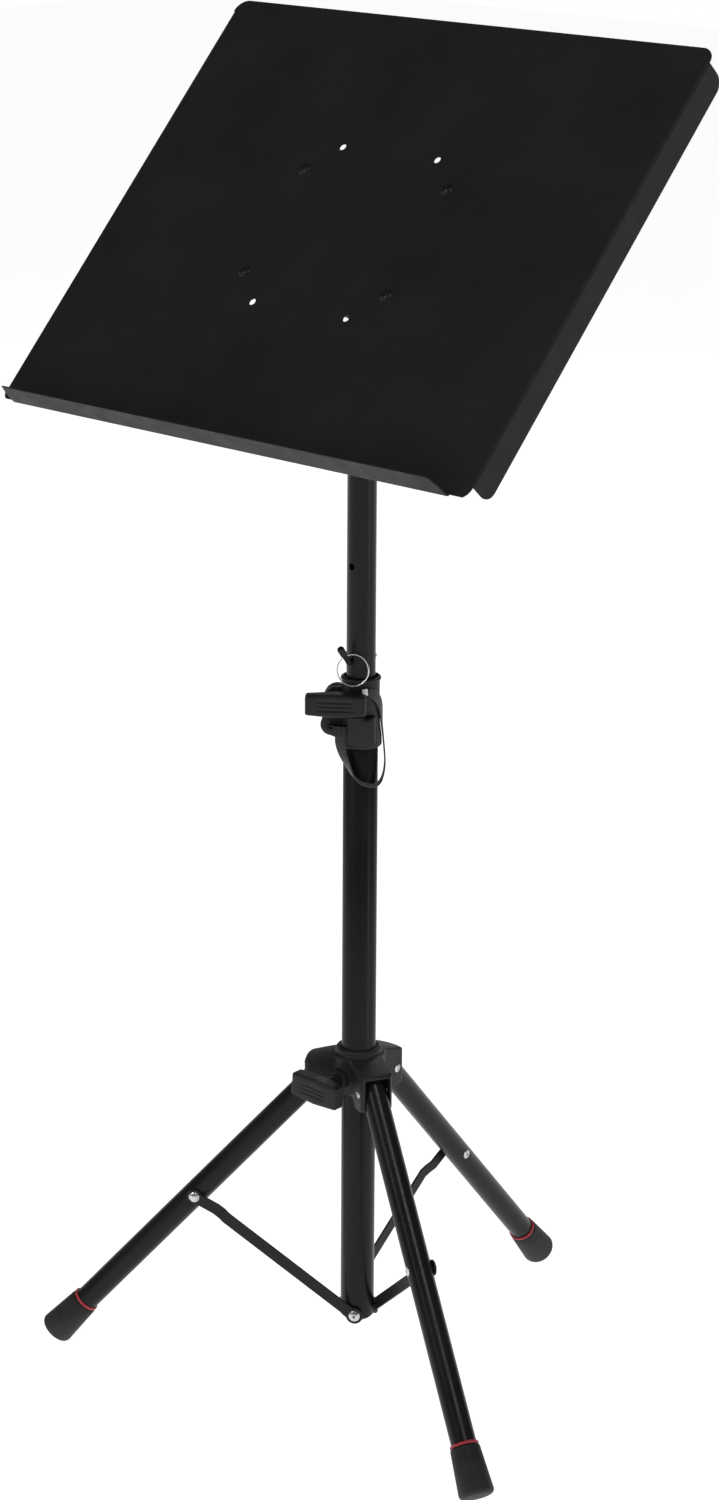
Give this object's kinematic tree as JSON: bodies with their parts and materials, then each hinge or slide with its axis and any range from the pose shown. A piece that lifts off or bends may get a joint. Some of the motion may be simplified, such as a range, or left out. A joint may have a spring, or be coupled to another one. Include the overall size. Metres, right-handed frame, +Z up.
{
  "type": "music stand",
  "caption": "Folding tripod music stand with a telescoping mast, a pinned split-collar height clutch and a wide tilting sheet-metal desk with a music ledge.",
  "frame": {"origin": "on the floor, at the middle of the object's box; the mast's axis stands at x = -2.5 mm, y = -51 mm", "axes": "+Z up; the reader stands on the -Y side and faces +Y; +X is to the reader's right"},
  "size_m": [0.5243, 0.4767, 1.1863],
  "materials": {
    "desk_black": "fine matt powder coat",
    "tube_black": "smooth semi-gloss powder coat",
    "bar_black": "satin powder coat",
    "moulded_black": "fine moulded texture",
    "knob_black": "satin moulded",
    "liner_white": "moulded natural nylon",
    "rivet_steel": "nickel plated",
    "bolt_steel": "zinc plated",
    "screw_black": "black oxide",
    "ring_steel": "polished wire",
    "brass": "machined",
    "rubber_black": "smooth moulded rubber",
    "band_red": "soft gloss",
    "strap_black": "woven flat strap",
    "grip_black": "dipped vinyl"
  },
  "bodies": {
    "mast": {"mast_tube": "tube_black", "mast_end_cap": "moulded_black", "clutch_collar": "moulded_black", "clutch_bush": "moulded_black", "clutch_bolt": "bolt_steel", "clutch_washer": "rivet_steel", "collar_screw": "screw_black", "hub_rivets": "rivet_steel", "lanyard_stud": "screw_black", "lanyard_head": "moulded_black", "lanyard": "strap_black", "lanyard_clip": "bolt_steel"},
    "clutch_knob": {"clutch_knob": "knob_black", "clutch_knob_insert": "brass"},
    "slider": {"guide_bush": "liner_white"},
    "upper_mast": {"upper_tube": "tube_black", "tilt_head": "moulded_black", "head_screw": "screw_black"},
    "desk": {"desk_plate": "desk_black", "desk_flanges": "desk_black", "mount_plate": "bar_black", "hinge_bracket": "bar_black", "desk_screws": "screw_black", "desk_nuts": "bolt_steel", "tilt_bolt": "bolt_steel", "tilt_washers": "liner_white"},
    "tilt_knob": {"tilt_knob": "knob_black", "tilt_knob_insert": "brass"},
    "pin": {"safety_pin": "screw_black", "pin_grip": "grip_black"},
    "pin_ring": {"pin_ring": "ring_steel"},
    "yoke": {"yoke": "moulded_black", "yoke_liner": "moulded_black", "leg_pivots": "rivet_steel", "yoke_nut": "brass", "yoke_pad": "liner_white"},
    "yoke_knob": {"yoke_knob": "knob_black", "yoke_screw": "bolt_steel"},
    "leg_left": {"leg_tube_left": "tube_black", "leg_plug_left": "moulded_black", "boot_left": "rubber_black", "boot_band_left": "band_red", "rivet_end_left": "rivet_steel"},
    "brace_left": {"brace_left": "bar_black", "brace_rivet_left": "rivet_steel"},
    "leg_right": {"leg_tube_right": "tube_black", "leg_plug_right": "moulded_black", "boot_right": "rubber_black", "boot_band_right": "band_red", "rivet_end_right": "rivet_steel"},
    "brace_right": {"brace_right": "bar_black", "brace_rivet_right": "rivet_steel"},
    "leg_back": {"leg_tube_back": "tube_black", "leg_plug_back": "moulded_black", "boot_back": "rubber_black", "boot_band_back": "band_red", "rivet_end_back": "rivet_steel"},
    "brace_back": {"brace_back": "bar_black", "brace_rivet_back": "rivet_steel"}
  },
  "joints": [
    {"name": "clutch_knob_turn", "type": "hinge", "parent": "mast", "child": "clutch_knob", "pos_m": [-0.00362, -0.08043, 0.629], "axis": [0.6157, -0.788, 0], "range_deg": [0, 180]},
    {"name": "height_slide", "type": "slide", "parent": "mast", "child": "slider", "axis": [0, 0, 1], "range_m": [-0.002, 0.27]},
    {"name": "mast_swivel", "type": "hinge", "parent": "slider", "child": "upper_mast", "pos_m": [-0.0025, -0.051, 0.62], "axis": [0, 0, 1], "continuous": true},
    {"name": "desk_tilt", "type": "hinge", "parent": "upper_mast", "child": "desk", "pos_m": [-0.0025, -0.051, 1.008], "axis": [1, 0, 0], "range_deg": [-45, 40]},
    {"name": "tilt_knob_turn", "type": "hinge", "parent": "desk", "child": "tilt_knob", "pos_m": [0.0215, -0.051, 1.008], "axis": [1, 0, 0], "range_deg": [0, 180]},
    {"name": "pin_pull", "type": "slide", "parent": "upper_mast", "child": "pin", "axis": [0, -1, 0], "range_m": [0, 0.04]},
    {"name": "ring_swing", "type": "hinge", "parent": "pin", "child": "pin_ring", "pos_m": [-0.0025, -0.07101, 0.66799], "axis": [-0.6269, -0.5846, -0.515], "range_deg": [0, 70]},
    {"name": "yoke_slide", "type": "slide", "parent": "mast", "child": "yoke", "axis": [0, 0, 1], "range_m": [0, 0.1138]},
    {"name": "yoke_knob_turn", "type": "hinge", "parent": "yoke", "child": "yoke_knob", "pos_m": [0.00099, -0.10088, 0.284], "axis": [0.0698, -0.9976, 0], "range_deg": [0, 180]},
    {"name": "leg_left_hinge", "type": "hinge", "parent": "yoke", "child": "leg_left", "pos_m": [-0.03317, -0.07169, 0.278], "axis": [0.5592, -0.829, 0], "range_deg": [0, 42.05]},
    {"name": "brace_left_hinge", "type": "hinge", "parent": "mast", "child": "brace_left", "pos_m": [0.00667, -0.0646, 0.053], "axis": [-0.5592, 0.829, 0], "range_deg": [0, 42.85]},
    {"name": "leg_right_hinge", "type": "hinge", "parent": "yoke", "child": "leg_right", "pos_m": [0.03076, -0.06722, 0.278], "axis": [0.4384, 0.8988, 0], "range_deg": [0, 42.05]},
    {"name": "brace_right_hinge", "type": "hinge", "parent": "mast", "child": "brace_right", "pos_m": [0.00469, -0.03626, 0.053], "axis": [-0.4384, -0.8988, 0], "range_deg": [0, 42.85]},
    {"name": "leg_back_hinge", "type": "hinge", "parent": "yoke", "child": "leg_back", "pos_m": [-0.00508, -0.01409, 0.278], "axis": [-0.9976, -0.0698, 0], "range_deg": [0, 42.05]},
    {"name": "brace_back_hinge", "type": "hinge", "parent": "mast", "child": "brace_back", "pos_m": [-0.01886, -0.05214, 0.053], "axis": [0.9976, 0.0698, 0], "range_deg": [0, 42.85]}
  ],
  "couplings": [
    {"joint": "leg_left_hinge", "follows": "yoke_slide", "rad_per_m": 6.4415},
    {"joint": "brace_left_hinge", "follows": "yoke_slide", "rad_per_m": 6.5642},
    {"joint": "leg_right_hinge", "follows": "yoke_slide", "rad_per_m": 6.4415},
    {"joint": "brace_right_hinge", "follows": "yoke_slide", "rad_per_m": 6.5642},
    {"joint": "leg_back_hinge", "follows": "yoke_slide", "rad_per_m": 6.4415},
    {"joint": "brace_back_hinge", "follows": "yoke_slide", "rad_per_m": 6.5642}
  ]
}
